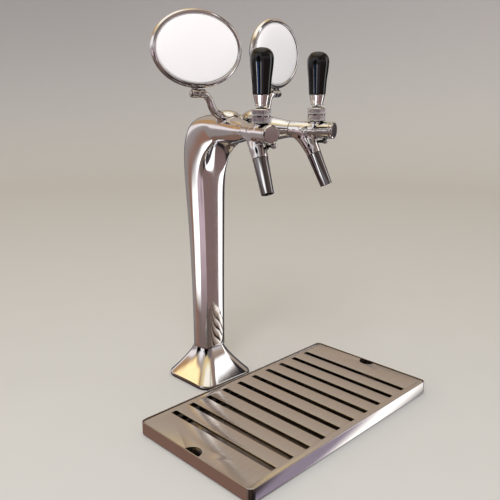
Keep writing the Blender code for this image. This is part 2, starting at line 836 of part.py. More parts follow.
def tray_feet(frame):
    """Four rubber pads under the pan."""
    number = 0
    for x in (-0.175, 0.175):
        for y in (-0.090, 0.090):
            number += 1
            pad = turned([(0.0080, 0.0), (0.0080, 0.0009)], 12)
            make(f"tray_foot_{number}", pad, "rubber", frame, (x, y, 0))


def tray_grid(frame):
    """The lift-out plate with its slots and finger notches, on six short legs."""
    joint = empty("grid_joint", (0, 0, 0), 0)
    joint.parent = frame
    inset = TRAY_WALL + 0.0013
    half_l, half_w = TRAY_L / 2 - inset, TRAY_W / 2 - inset
    corner = TRAY_CORNER - TRAY_WALL - 0.001
    rings = [
        rounded_square(half_l, half_w, corner, GRID_TOP - GRID_T, 4),
        rounded_square(half_l, half_w, corner, GRID_TOP, 4),
    ]
    plate = make("tray_grid", loft(rings), "steel", joint)
    number = 0
    for x in (-0.165, 0.0, 0.165):
        for y in (-0.104, 0.104):
            number += 1
            leg = turned([(0.0030, 0.0027), (0.0030, GRID_TOP - GRID_T - GAP)], 10)
            make(f"grid_leg_{number}", leg, "rubber", joint, (x, y, 0))
    for i in range(SLOTS):
        x = (i - (SLOTS - 1) / 2) * SLOT_PITCH
        low, high = GRID_TOP - 0.004, GRID_TOP + 0.004
        ends = [
            rounded_square(SLOT_W / 2, SLOT_L / 2, 0.0012, low, 1),
            rounded_square(SLOT_W / 2, SLOT_L / 2, 0.0012, high, 1),
        ]
        cut(plate, make(f"slot_{i + 1}", loft(ends), "steel", joint, (x, 0, 0)))
    for side in (-1, 1):
        notch = rod(0.0135, GRID_TOP - 0.004, GRID_TOP + 0.004, 24)
        x = side * (half_l - 0.0005)
        cut(plate, make(f"notch_{side}", notch, "steel", joint, (x, 0, 0)))


def drip_tray():
    frame = empty("tray_joint", (0, TRAY_Y, 0), 0)
    tray_pan(frame)
    tray_feet(frame)
    tray_grid(frame)


def main():
    for old in list(bpy.data.objects):
        bpy.data.objects.remove(old, do_unlink=True)
    base_plate()
    foot_gasket()
    foot_skirt()
    neck_ring()
    tower_body()
    beer_lines()
    coolant_tube()
    taps()
    for side, name in ((-1, "left"), (1, "right")):
        medallion(side, name)
    drip_tray()


main()
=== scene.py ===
"""Looks of the two-tap beer tower: polished chrome, glossy grips, white medallions, satin tray.

Fine surfaces stand for the plain CAD solids, each riding on its CAD body. Metres, +Z up.
"""

import json
import math

import bmesh
import bpy
import numpy as np
from mathutils import Matrix, Vector


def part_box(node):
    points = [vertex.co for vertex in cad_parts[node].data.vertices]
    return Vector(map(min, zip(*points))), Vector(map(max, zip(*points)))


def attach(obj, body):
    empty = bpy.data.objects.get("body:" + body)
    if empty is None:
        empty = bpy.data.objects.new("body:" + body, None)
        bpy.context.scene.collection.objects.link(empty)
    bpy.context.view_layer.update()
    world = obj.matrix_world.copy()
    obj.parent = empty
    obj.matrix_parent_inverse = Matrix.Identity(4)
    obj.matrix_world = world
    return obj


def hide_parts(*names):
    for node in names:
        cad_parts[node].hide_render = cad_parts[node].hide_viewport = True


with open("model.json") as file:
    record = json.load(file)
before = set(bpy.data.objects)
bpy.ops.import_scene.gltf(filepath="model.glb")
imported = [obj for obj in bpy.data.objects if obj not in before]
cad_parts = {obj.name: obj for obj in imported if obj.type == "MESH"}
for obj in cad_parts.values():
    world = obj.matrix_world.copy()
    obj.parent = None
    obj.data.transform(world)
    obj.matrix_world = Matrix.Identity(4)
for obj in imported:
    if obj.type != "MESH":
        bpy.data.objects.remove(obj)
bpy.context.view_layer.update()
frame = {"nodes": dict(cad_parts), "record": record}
JOINTS = {joint["name"]: joint for joint in frame["record"]["behaviour"]["joints"]}
SIDES = ((-1, "left"), (1, "right"))

# Driving sizes, the same as the CAD model's
WALL = 0.0025
FOOT_HALF, FOOT_CORNER, FOOT_LIP = 0.0545, 0.022, 0.0055
NECK_Z, NECK_R, NECK_FRONT, NECK_GAP = 0.055, 0.0245, 0.0195, 0.0004
ARM_Y, ARM_Z, ARM_R = 0.002, 0.4195, 0.0195
SPLAY = math.radians(17.5)
TAP_R, PIVOT = 0.0118, 0.0265
SPOUT_TILT, SPOUT_U = math.radians(24.9), -0.0183
SEAM, TIP = 0.0367, 0.0857
MED_A, MED_B, MED_RISE = 0.069, 0.0513, 0.0584
KNUCKLE_R, PIN_BORE = 0.0058, 0.0028


# ---------------------------------------------------------------- materials


class Nodes:
    """Wires a node tree from numbers, colours and sockets."""

    def __init__(self, tree):
        self.tree = tree

    def feed(self, socket, value):
        """Links a socket to an output, or sets it to a number, vector or colour."""
        if isinstance(value, bpy.types.NodeSocket):
            self.tree.links.new(value, socket)
        elif socket.type == "RGBA":
            socket.default_value = (*value, 1)
        else:
            socket.default_value = value

    def fill(self, node, **inputs):
        """Feeds the inputs of these names, with _ for a space."""
        for name, value in inputs.items():
            self.feed(node.inputs[name.replace("_", " ")], value)
        return node

    def new(self, kind, **inputs):
        return self.fill(self.tree.nodes.new("ShaderNode" + kind), **inputs)

    def math(self, kind, *values):
        node = self.new("Math")
        node.operation = kind
        for socket, value in zip(node.inputs, values):
            self.feed(socket, value)
        return node.outputs[0]

    def mix(self, factor, first, second, blend="MIX"):
        node = self.new("Mix")
        node.data_type = "RGBA"
        node.blend_type = blend
        return self.fill(node, Factor=factor, A=first, B=second).outputs["Result"]

    def remap(self, value, low, high, start=0.3, end=0.7, kind="LINEAR"):
        node = self.new("MapRange", Value=value, From_Min=start, From_Max=end)
        node.interpolation_type = kind
        return self.fill(node, To_Min=low, To_Max=high).outputs["Result"]

    def band(self, value, low, high, soft):
        """1 between low and high, falling smoothly to 0 outside."""
        rising = self.remap(value, 0, 1, low - soft, low + soft, "SMOOTHSTEP")
        falling = self.remap(value, 0, 1, high + soft, high - soft, "SMOOTHSTEP")
        return self.math("MULTIPLY", rising, falling)


class Look(Nodes):
    """A Principled material whose detail comes from nodes in object space."""

    def __init__(self, name, colour, roughness, metallic=0.0, **inputs):
        self.material = bpy.data.materials.new(name)
        self.material.use_nodes = True
        super().__init__(self.material.node_tree)
        self.shader = self.tree.nodes["Principled BSDF"]
        self.fill(self.shader, Base_Color=colour, Roughness=roughness, Metallic=metallic, **inputs)
        self.place = self.new("TexCoord").outputs["Object"]

    def noise(self, scale, detail=3.0, stretch=(1, 1, 1)):
        place = self.new("Mapping", Vector=self.place, Scale=stretch).outputs[0]
        return self.new("TexNoise", Vector=place, Scale=scale, Detail=detail).outputs["Fac"]

    def colour(self, source):
        self.fill(self.shader, Base_Color=source)

    def roughness(self, marks, low, high):
        self.fill(self.shader, Roughness=self.remap(marks, low, high))

    def crevice_shade(self, colour, reach, dark, start, end):
        """Darkens the colour deep in grooves and corners by occlusion: painted shade."""
        shelter = self.new("AmbientOcclusion", Distance=reach)
        shelter.samples = 6
        shade = self.remap(shelter.outputs["AO"], dark, 1.0, start, end)
        return self.mix(1.0, colour, shade, "MULTIPLY")

    def bump(self, height, distance, strength=1.0, under=None):
        node = self.new("Bump", Height=height, Distance=distance, Strength=strength)
        if under is not None:
            self.fill(node, Normal=under)
        self.fill(self.shader, Normal=node.outputs["Normal"])
        return node.outputs["Normal"]


def chrome():
    """Mirror plate over a polished casting: faint polishing ripple, haze and fine wipe marks."""
    look = Look("chrome", (0.84, 0.82, 0.81), 0.05, 1.0)
    haze = look.noise(38, 4)
    wipes = look.noise(420, 2, (1, 1, 0.12))
    plate = look.mix(look.remap(haze, 0, 1), (0.86, 0.85, 0.84), (0.80, 0.785, 0.78))
    # Painted shade: occlusion darkens the plate colour in the casting's grooves and corners.
    look.colour(look.crevice_shade(plate, 0.045, 0.04, 0.35, 0.85))
    look.roughness(wipes, 0.035, 0.085)
    ripple = look.bump(look.noise(26, 1), 0.00012, 0.5)
    look.bump(wipes, 0.000004, 0.5, ripple)
    return look.material


def turned_chrome():
    """Chrome over a lathe finish, a touch softer than the casting."""
    look = Look("turned_chrome", (0.84, 0.82, 0.81), 0.08, 1.0)
    marks = look.noise(900, 2, (0.2, 0.2, 3))
    plate = look.mix(look.noise(60, 3), (0.86, 0.85, 0.84), (0.79, 0.775, 0.77))
    # Painted shade: occlusion darkens the plate colour in the turnings' grooves and corners.
    look.colour(look.crevice_shade(plate, 0.006, 0.05, 0.40, 0.92))
    look.roughness(marks, 0.06, 0.12)
    look.bump(marks, 0.000005, 0.5)
    return look.material


def nozzle_chrome():
    """The darker, denser plate of the spouts."""
    look = Look("nozzle_chrome", (0.24, 0.235, 0.235), 0.06, 1.0)
    marks = look.noise(500, 2, (1, 1, 0.2))
    look.colour(look.mix(look.noise(70, 3), (0.26, 0.255, 0.255), (0.215, 0.21, 0.212)))
    look.roughness(marks, 0.04, 0.09)
    look.bump(marks, 0.000004, 0.5)
    return look.material


def pan_floor():
    """The inside of the pan: its steel darkened as painted shade from the plate above, with uneven
    beer stain.
    """
    look = Look("pan_floor", (0.20, 0.18, 0.165), 0.14, 1.0)
    stain = look.noise(42, 4)
    look.colour(look.mix(stain, (0.25, 0.225, 0.205), (0.13, 0.115, 0.105)))
    look.roughness(stain, 0.08, 0.2)
    look.bump(look.noise(300, 2), 0.00001, 0.4)
    return look.material


def cap_face():
    """The satin disc on a tap's end, with a fine even grain."""
    look = Look("cap_face", (0.70, 0.66, 0.66), 0.26, 1.0)
    marks = look.noise(700, 2, (0.2, 1, 1))
    look.colour(look.mix(marks, (0.74, 0.70, 0.70), (0.64, 0.60, 0.60)))
    look.roughness(marks, 0.22, 0.34)
    look.bump(marks, 0.00001, 0.5)
    return look.material


def satin_steel():
    """Stainless sheet with a directional grain along the tray."""
    look = Look("satin_steel", (0.74, 0.70, 0.65), 0.3, 1.0)
    grain = look.noise(520, 3, (0.02, 1, 1))
    smudge = look.noise(11, 4)
    look.colour(look.mix(grain, (0.80, 0.755, 0.70), (0.68, 0.64, 0.595)))
    look.roughness(smudge, 0.17, 0.23)
    look.bump(grain, 0.000012, 0.3)
    return look.material


def bright_steel():
    """The pan's smoother sheet, on its outside and its rim."""
    look = Look("bright_steel", (0.74, 0.71, 0.69), 0.06, 1.0)
    grain = look.noise(340, 3, (0.05, 0.05, 1))
    smudge = look.noise(14, 4)
    look.colour(look.mix(smudge, (0.78, 0.75, 0.73), (0.70, 0.67, 0.65)))
    look.roughness(grain, 0.035, 0.075)
    look.bump(grain, 0.000006, 0.4)
    return look.material


def inner_steel():
    look = Look("inner_steel", (0.60, 0.58, 0.56), 0.3, 1.0)
    marks = look.noise(600, 2)
    look.roughness(marks, 0.24, 0.38)
    look.bump(marks, 0.00001, 0.5)
    return look.material


def brass():
    look = Look("brass", (0.72, 0.52, 0.22), 0.28, 1.0)
    tarnish = look.noise(90, 4)
    look.colour(look.mix(tarnish, (0.76, 0.56, 0.25), (0.50, 0.33, 0.12)))
    look.roughness(tarnish, 0.22, 0.42)
    return look.material


def grip_black():
    """Glossy black moulding, its gloss a little uneven from handling."""
    look = Look("grip_black", (0.005, 0.005, 0.006), 0.05, Specular_IOR_Level=0.42)
    marks = look.noise(160, 4)
    look.colour(look.mix(marks, (0.004, 0.004, 0.005), (0.008, 0.008, 0.009)))
    look.roughness(marks, 0.03, 0.08)
    look.bump(look.noise(45, 1), 0.00005, 0.4)
    return look.material


def lens_white():
    """Opal diffuser: even white under a clear gloss."""
    look = Look("lens_white", (0.93, 0.93, 0.93), 0.22, Coat_Weight=0.6, Coat_Roughness=0.03)
    cloud = look.noise(30, 3)
    look.colour(look.mix(cloud, (0.95, 0.95, 0.95), (0.91, 0.91, 0.915)))
    look.roughness(cloud, 0.16, 0.24)
    look.fill(look.shader, Emission_Color=(0.98, 0.99, 1), Emission_Strength=0.42)
    look.bump(look.noise(220, 2), 0.000006, 0.4)
    return look.material


def lamp_board():
    look = Look("lamp_board", (0.04, 0.20, 0.09), 0.45)
    tracks = look.remap(look.noise(260, 1, (1, 1, 4)), 0, 1, 0.48, 0.52)
    look.colour(look.mix(tracks, (0.03, 0.17, 0.08), (0.06, 0.25, 0.11)))
    return look.material


def rubber():
    look = Look("rubber", (0.025, 0.025, 0.026), 0.65)
    grain = look.noise(900, 3)
    look.colour(look.mix(grain, (0.020, 0.020, 0.021), (0.034, 0.033, 0.033)))
    look.roughness(grain, 0.55, 0.8)
    look.bump(grain, 0.00005, 0.5)
    return look.material


def hose():
    look = Look("hose", (0.74, 0.75, 0.73), 0.35)
    cloud = look.noise(120, 3)
    look.colour(look.mix(cloud, (0.78, 0.79, 0.77), (0.68, 0.69, 0.66)))
    look.roughness(cloud, 0.3, 0.45)
    return look.material


def floor_finish():
    look = Look("floor_finish", (0.70, 0.73, 0.76), 0.6)
    cloud = look.noise(9, 4)
    look.colour(look.mix(cloud, (0.71, 0.74, 0.77), (0.69, 0.72, 0.75)))
    look.bump(look.noise(500, 2), 0.00004, 0.3)
    return look.material


MADE = {
    made.__name__: made()
    for made in (
        chrome, turned_chrome, nozzle_chrome, cap_face, satin_steel, bright_steel, pan_floor,
        inner_steel, brass, grip_black, lens_white, lamp_board, rubber, hose, floor_finish,
    )
}  # fmt: skip


# ---------------------------------------------------------------- mesh helpers


def show(name, bm, look, body, place=None, sharp=38, nodes=()):
    """Makes a piece from a bmesh, smooth but for its sharp edges, and fixes it to its CAD body."""
    bmesh.ops.recalc_face_normals(bm, faces=bm.faces)
    mesh = bpy.data.meshes.new(name)
    bm.to_mesh(mesh)
    bm.free()
    return show_mesh(name, mesh, look, body, place, sharp, nodes)


def show_mesh(name, mesh, look, body, place=None, sharp=38, nodes=()):
    mesh.shade_smooth()
    if sharp:
        mesh.set_sharp_from_angle(angle=math.radians(sharp))
    mesh.materials.append(MADE[look])
    piece = bpy.data.objects.new(name, mesh)
    bpy.context.scene.collection.objects.link(piece)
    if place is not None:
        piece.matrix_world = place
    bpy.context.view_layer.update()
    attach(piece, body)
    if nodes:
        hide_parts(*nodes)
    return piece


def bridge(bm, low, high):
    """Quads between two rings of as many vertices."""
    count = len(low)
    for i in range(count):
        j = (i + 1) % count
        bm.faces.new((low[i], low[j], high[j], high[i]))


def loft(rings, loop=False, caps=True):
    bm = bmesh.new()
    rows = [[bm.verts.new(point) for point in points] for points in rings]
    pairs = list(zip(rows, rows[1:]))
    if loop:
        pairs.append((rows[-1], rows[0]))
    for low, high in pairs:
        bridge(bm, low, high)
    if not loop and caps:
        bm.faces.new(rows[0][::-1])
        bm.faces.new(rows[-1])
    return bm


def filleted(points, radius, steps=4, closed=False):
    """The profile with each corner rounded, as far as its neighbours leave room."""
    out = []
    count = len(points)
    for i, point in enumerate(points):
        if not closed and i in (0, count - 1):
            out.append(Vector(point))
            continue
        here = Vector(point)
        before = Vector(points[i - 1]) - here
        after = Vector(points[(i + 1) % count]) - here
        turn = math.pi - before.angle(after)
        if turn < 0.15:
            out.append(here)
            continue
        reach = min(radius * math.tan(turn / 2), 0.45 * before.length, 0.45 * after.length)
        start = here + before.normalized() * reach
        end = here + after.normalized() * reach
        for k in range(steps + 1):
            t = k / steps
            out.append((1 - t) ** 2 * start + 2 * t * (1 - t) * here + t * t * end)
    return out


def circle(radius, height, sides):
    step = 2 * math.pi / sides
    return [
        Vector((radius * math.cos(i * step), radius * math.sin(i * step), height))
        for i in range(sides)
    ]


def turned(profile, sides=96, loop=False):
    return loft([circle(p[0], p[1], sides) for p in profile], loop)


def along_x(bm):
    bmesh.ops.rotate(bm, verts=bm.verts, matrix=Matrix.Rotation(math.pi / 2, 3, "Y"))
    return bm


def spline(points, steps):
    """Points on a Catmull-Rom curve through the given points."""
    points = [Vector(p) for p in points]
    ends = [2 * points[0] - points[1], *points, 2 * points[-1] - points[-2]]
    path = []
    for a, b, c, d in zip(ends, ends[1:], ends[2:], ends[3:]):
        for i in range(steps):
            t = i / steps
            quad = 2 * b + (c - a) * t + (2 * a - 5 * b + 4 * c - d) * t**2
            path.append(0.5 * (quad + (3 * b - a - 3 * c + d) * t**3))
    path.append(points[-1])
    return path


def rounded_square(half_x, half_y, corner, height, per_corner=10, per_side=1):
    points = []
    for quarter in range(4):
        sx = (1, -1, -1, 1)[quarter]
        sy = (1, 1, -1, -1)[quarter]
        centre = Vector((sx * (half_x - corner), sy * (half_y - corner), height))
        for i in range(per_corner + 1):
            angle = math.pi / 2 * (quarter + i / per_corner)
            out = Vector((math.cos(angle), math.sin(angle), 0))
            points.append(centre + corner * out)
        far = centre + corner * out
        run = (half_x if quarter % 2 == 0 else half_y) - corner
        ahead = Vector((-out.y, out.x, 0)) * 2 * run / per_side
        points += [far + ahead * k for k in range(1, per_side)]
    return points


# ---------------------------------------------------------------- solids from distance fields


class Field:
    """Distance-field shapes on a grid, with soft unions, turned into a smooth mesh."""

    def __init__(self, low, high, step):
        self.low, self.step = np.array(low), step
        self.shape = tuple(int(math.ceil((h - l) / step)) + 1 for l, h in zip(low, high))
        axes = [self.low[i] + step * np.arange(self.shape[i]) for i in range(3)]
        self.points = np.stack(np.meshgrid(*axes, indexing="ij"), -1).reshape(-1, 3)

    def surface(self, distance):
        """Quads round the zero level of a function of points, drawn onto it by Newton steps."""
        values = distance(self.points).reshape(self.shape)
        inside = values < 0
        cells = tuple(n - 1 for n in self.shape)
        total = np.zeros((*cells, 3))
        count = np.zeros(cells)
        corner = np.array([(i, j, k) for i in (0, 1) for j in (0, 1) for k in (0, 1)])
        for a in range(8):
            for b in range(a + 1, 8):
                if np.abs(corner[a] - corner[b]).sum() != 1:
                    continue
                va = self.part(values, corner[a], cells)
                vb = self.part(values, corner[b], cells)
                cross = (va < 0) != (vb < 0)
                share = np.where(cross, va / np.where(cross, va - vb, 1), 0)
                where = corner[a] + share[..., None] * (corner[b] - corner[a])
                total += np.where(cross[..., None], where, 0)
                count += cross
        used = count > 0
        index = np.full(cells, -1)
        index[used] = np.arange(used.sum())
        grid = np.argwhere(used)
        vertices = self.low + self.step * (grid + total[used] / count[used][:, None])
        faces = []
        for axis in range(3):
            one, two = [i for i in range(3) if i != axis]
            if axis == 1:
                one, two = two, one
            change = np.diff(inside.astype(np.int8), axis=axis)
            at = np.argwhere(change != 0)
            keep = (at[:, one] > 0) & (at[:, two] > 0)
            keep &= (at[:, one] < self.shape[one] - 1) & (at[:, two] < self.shape[two] - 1)
            at = at[keep]
            quad = []
            for da, db in ((-1, -1), (0, -1), (0, 0), (-1, 0)):
                cell = at.copy()
                cell[:, one] += da
                cell[:, two] += db
                quad.append(index[tuple(cell.T)])
            quad = np.stack(quad, 1)
            flip = change[tuple(at.T)] < 0
            quad[flip] = quad[flip][:, ::-1]
            faces.append(quad)
        rounds, flattest, most = 4, 0.25, 0.4 * self.step
        for _ in range(rounds):
            here = distance(vertices)
            slope = self.gradient(distance, vertices)
            length = np.maximum((slope**2).sum(1), flattest)
            move = -(here / length)[:, None] * slope
            vertices += np.clip(move, -most, most)
        return vertices, np.concatenate(faces)[:, ::-1]

    def part(self, values, corner, cells):
        return values[tuple(slice(c, c + n) for c, n in zip(corner, cells))]

    def gradient(self, distance, points, eps=2e-5):
        out = np.empty_like(points)
        for i in range(3):
            step = np.zeros(3)
            step[i] = eps
            out[:, i] = (distance(points + step) - distance(points - step)) / (2 * eps)
        return out

    def mesh(self, name, distance):
        vertices, faces = self.surface(distance)
        mesh = bpy.data.meshes.new(name)
        mesh.from_pydata(vertices.tolist(), [], faces.tolist())
        mesh.update()
        return mesh


def soft_union(a, b, reach):
    h = np.clip(0.5 + 0.5 * (b - a) / reach, 0, 1)
    return b + (a - b) * h - reach * h * (1 - h)


def rod_field(points, start, end, radius_start, radius_end=None, edge=0.0):
    """A flat-ended rod or cone between two points, its rims rounded by edge."""
    radius_end = radius_start if radius_end is None else radius_end
    start, end = np.array(start, float), np.array(end, float)
    length = np.linalg.norm(end - start)
    way = (end - start) / length
    along = (points - start) @ way
    off = np.linalg.norm(points - start - along[:, None] * way, axis=1)
    share = np.clip(along / length, 0, 1)
    side = off - (radius_start + (radius_end - radius_start) * share) + edge
    cap = np.abs(along - length / 2) - length / 2 + edge
    outside = np.hypot(np.maximum(side, 0), np.maximum(cap, 0))
    return np.minimum(np.maximum(side, cap), 0) + outside - edge


def capsule_field(points, start, end, radius_start, radius_end):
    start, end = np.array(start, float), np.array(end, float)
    way = end - start
    share = np.clip((points - start) @ way / (way @ way), 0, 1)
    near = start + share[:, None] * way
    radius = radius_start + (radius_end - radius_start) * share
    return np.linalg.norm(points - near, axis=1) - radius


# ---------------------------------------------------------------- foot


def foot_outline(share, grow, height):
    """The foot's section, from the square bottom (share 0) to the neck (share 1)."""
    half, reach = FOOT_HALF + grow, NECK_R + NECK_GAP + grow
    points = []
    for corner in rounded_square(half, half, FOOT_CORNER + grow, height, 12, 12):
        angle = math.atan2(corner.y, corner.x)
        x = reach * math.cos(angle)
        y = ARM_Y + reach * math.sin(angle)
        neck = Vector((x, max(y, -NECK_FRONT - grow), height))
        points.append(corner.lerp(neck, share))
    return points


def foot():
    """The flared foot, with a softly broken edge above its lip."""
    steps, flare, bottom, ease = 26, 1.32, 0.0019, 0.0003
    outer = [(0, -ease, bottom), (0, 0, 0.0022), (0, 0, FOOT_LIP - 0.0012)]
    inner = [(0, -WALL, bottom), (0, -WALL, FOOT_LIP - 0.001)]
    for i in range(steps + 1):
        rise = max(i / steps, 0.008)
        height = FOOT_LIP + rise * (NECK_Z - FOOT_LIP)
        share = 1 - (1 - rise) ** flare
        outer.append((share, -ease if i == steps else 0, height))
        inner.append((share, -WALL, height - 0.001 * (1 - rise)))
    rings = [foot_outline(s, g, z) for s, g, z in outer + inner[::-1]]
    skirt = loft(rings, loop=True)
    show("foot", skirt, "chrome", "tower", nodes=["foot_skirt"], sharp=60)


# ---------------------------------------------------------------- column and arms

# The back, front and web of the column, each (y, z), and its half width
SECTIONS = (
    ((0.0265, 0.0553), (-0.0195, 0.0553), (-0.0195, 0.0553), 0.0245),
    ((0.0265, 0.0750), (-0.0195, 0.0750), (-0.0195, 0.0750), 0.0245),
    ((0.0268, 0.1300), (-0.0196, 0.1300), (-0.0196, 0.1300), 0.0247),
    ((0.0284, 0.2000), (-0.0200, 0.2000), (-0.0200, 0.2000), 0.0257),
    ((0.0312, 0.2600), (-0.0204, 0.2590), (-0.0204, 0.2590), 0.0272),
    ((0.0345, 0.3100), (-0.0201, 0.3060), (-0.0200, 0.3055), 0.0289),
    ((0.0369, 0.3480), (-0.0200, 0.3400), (-0.0202, 0.3350), 0.0303),
    ((0.0365, 0.3800), (-0.0198, 0.3650), (-0.0255, 0.3520), 0.0314),
    ((0.0302, 0.4085), (-0.0195, 0.3830), (-0.0345, 0.3635), 0.0322),
    ((0.0152, 0.4302), (-0.0210, 0.4000), (-0.0445, 0.3725), 0.0326),
    ((-0.0080, 0.4392), (-0.0330, 0.4095), (-0.0540, 0.3805), 0.0332),
    ((-0.0330, 0.4400), (-0.0480, 0.4110), (-0.0615, 0.3905), 0.0345),
)
# Distance along the arm, radius
ARM_RINGS = (
    (0.0780, 0.0196), (0.0960, 0.0193), (0.1130, 0.0183), (0.1270, 0.0160), (0.1370, 0.0136),
    (0.1430, 0.0123), (0.1477, 0.0119),
)  # fmt: skip
# Control ring over limit circle, for 12 and 8 points
CAGE_12 = 1 / ((2 + math.cos(math.radians(30))) / 3)
CAGE_8 = 1 / ((2 + math.cos(math.radians(45))) / 3)


def arm_frame(side):
    turn = -math.pi / 2 + side * SPLAY
    return Matrix.Translation((0, ARM_Y, ARM_Z)) @ Matrix.Rotation(turn, 4, "Z")


def column_ring(section):
    back, front, web, half = (Vector((0, *p)) if isinstance(p, tuple) else p for p in section)
    swell = 1.03  # what smoothing takes off again
    middle = (back + front) / 2
    out = (back - front).normalized()
    depth = ((back - front).length / 2) * swell
    width = half * CAGE_12
    points = []
    for k in range(7):
        angle = k * math.pi / 6
        across = Vector((math.sin(angle) * width, 0, 0))
        points.append(middle + out * math.cos(angle) * depth + across)
    forward = (web - middle) * swell
    points[4] = middle + forward * 0.86 + Vector((0.88 * width, 0, 0))
    points[5] = front.lerp(web, 0.22) + (front - middle) * 0.03 + Vector((0.52 * width, 0, 0))
    return points + [Vector((-p.x, p.y, p.z)) for p in points[5:0:-1]]


def arm_ring(side, distance, radius):
    points = []
    for k in range(8):
        angle = math.radians(-45 + 45 * k)
        across = radius * CAGE_8 * math.sin(angle) * side
        local = Vector((distance, across, radius * CAGE_8 * math.cos(angle)))
        points.append(arm_frame(side) @ local)
    return points


def fork_ring():
    top = Vector((0, -0.0530, 0.4375))
    under = Vector((0, -0.0610, 0.4110))
    halves = []
    for side in (1, -1):
        half = arm_ring(side, 0.0600, ARM_R)[1:6]
        half[3].z -= 0.0030
        half[4].z -= 0.0010
        halves.append(half)
    return [top, *halves[0], under, *halves[1][::-1]]


def casting():
    """Column, bend and both arms as one polished skin."""
    bm = bmesh.new()
    rows = [[bm.verts.new(p) for p in column_ring(s)] for s in SECTIONS]
    fork = [bm.verts.new(p) for p in fork_ring()]
    for low, high in zip(rows, [*rows[1:], fork]):
        bridge(bm, low, high)
    crotch = bm.verts.new((0, -0.0740, ARM_Z))
    for side in (-1, 1):
        ring = fork[0:7] if side > 0 else [fork[0], *fork[11:5:-1]]
        ring = [*ring, crotch]
        for distance, radius in ARM_RINGS:
            following = [bm.verts.new(p) for p in arm_ring(side, distance, radius)]
            bridge(bm, ring, following)
            ring = following
    piece = show("casting", bm, "chrome", "tower", nodes=["tower_body"], sharp=0)
    smooth = piece.modifiers.new("smooth", "SUBSURF")
    smooth.levels = 3
    smooth.render_levels = 3
    wall = piece.modifiers.new("wall", "SOLIDIFY")
    wall.thickness = WALL
    wall.offset = -1


# ---------------------------------------------------------------- taps


def tap_frame(name):
    """Local X runs out along the arm, Y across it, Z up, from the tap's own axis."""
    joint = JOINTS[f"handle_{name}_tilt"]
    across = Vector(joint["axis"])
    up = Vector((0, 0, 1))
    place = Matrix((across.cross(up), across, up)).transposed().to_4x4()
    return Matrix.Translation(Vector(joint["pos_m"]) - PIVOT * up) @ place


def spout_point(distance, ahead=0.0):
    x = SPOUT_U + distance * math.sin(SPOUT_TILT) + ahead * math.cos(SPOUT_TILT)
    return (x, 0, -distance * math.cos(SPOUT_TILT) + ahead * math.sin(SPOUT_TILT))


SPOUT_PLACE = Matrix.Translation((SPOUT_U, 0, 0)) @ Matrix.Rotation(math.pi - SPOUT_TILT, 4, "Y")
FLOW_AXIS = (-0.0095, 0.0, -0.0180)


def tap_distance(p):
    """The cast tap: barrel, spout, its flare from the arm, the boss on top, and the bores."""
    barrel = rod_field(p, (-0.0394, 0, 0), (0.0219, 0, 0), TAP_R, edge=0.0004)
    spout = rod_field(p, spout_point(-0.002), spout_point(SEAM), 0.0112, 0.0107, edge=0.0004)
    start, end = spout_point(0.004, -0.010), spout_point(0.022, -0.0012)
    flare = capsule_field(p, start, end, 0.0085, 0.0098)
    spout = soft_union(spout, flare, 0.006)
    body = soft_union(barrel, spout, 0.0042)
    boss = rod_field(p, (0, 0, 0.004), (0, 0, 0.0126), 0.0100, 0.0096, edge=0.0006)
    body = soft_union(body, boss, 0.0016)
    x, _, z = FLOW_AXIS
    # The way in from the arm, valve seat, piston, bonnet, spout, nozzle and throttle
    cuts = (
        rod_field(p, (-0.05, 0, 0), (-0.0319, 0, 0), 0.0074),
        rod_field(p, (-0.033, 0, 0), (-0.0205, 0, 0), 0.0064),
        rod_field(p, (-0.022, 0, 0), (-0.015, 0, 0), 0.0046),
        rod_field(p, (-0.0175, 0, 0), (0.03, 0, 0), 0.0069),
        rod_field(p, (0, 0, 0.003), (0, 0, 0.02), 0.0083),
        rod_field(p, spout_point(0.006), spout_point(0.05), 0.0056),
        rod_field(p, spout_point(0.0296), spout_point(0.05), 0.0083),
        rod_field(p, (x, -0.004, z), (x, 0.03, z), 0.0024),
    )
    for hole in cuts:
        body = np.maximum(body, -hole)
    slot = np.abs(p - np.array((-0.0052, 0, 0.0068))) - np.array((0.0052, 0.0029, 0.0038))
    return np.maximum(body, -slot.max(1))


def bonnet_bm():
    """Two knurled grip rings with a plain groove between them, hollow inside."""
    low, high = 0.0131, 0.0307
    teeth, per, groove, crest = 44, 6, 0.00055, 0.7
    sides = teeth * per
    outer = [
        (0.0110, low, 0), (0.0124, low, 0), (0.0129, low + 0.0006, 0.3), (0.0129, low + 0.0012, 1),
        (0.0129, 0.0204, 1), (0.0129, 0.0210, 0.3), (0.0120, 0.0215, 0), (0.0120, 0.0224, 0),
        (0.0129, 0.0229, 0.3), (0.0129, 0.0235, 1), (0.0129, high - 0.0012, 1),
        (0.0129, high - 0.0006, 0.3), (0.0124, high, 0), (0.0104, high, 0), (0.0099, 0.0312, 0),
        (0.0095, 0.0315, 0), (0.0060, 0.0327, 0), (0.0054, 0.0328, 0), (0.0050, 0.0325, 0),
    ]  # fmt: skip
    inner = [
        (0.0062, 0.0300, 0), (0.0062, 0.0262, 0), (0.0062, 0.0225, 0), (0.0086, 0.0200, 0),
        (0.0086, low, 0),
    ]  # fmt: skip
    rings = []
    for radius, height, depth in outer + inner:
        ring = []
        for i in range(sides):
            angle = 2 * math.pi * i / sides
            wave = abs(math.sin(math.pi * i / per)) ** crest
            r = radius - depth * groove * (1 - wave)
            ring.append(Vector((r * math.cos(angle), r * math.sin(angle), height)))
        rings.append(ring)
    return loft(rings, loop=True)


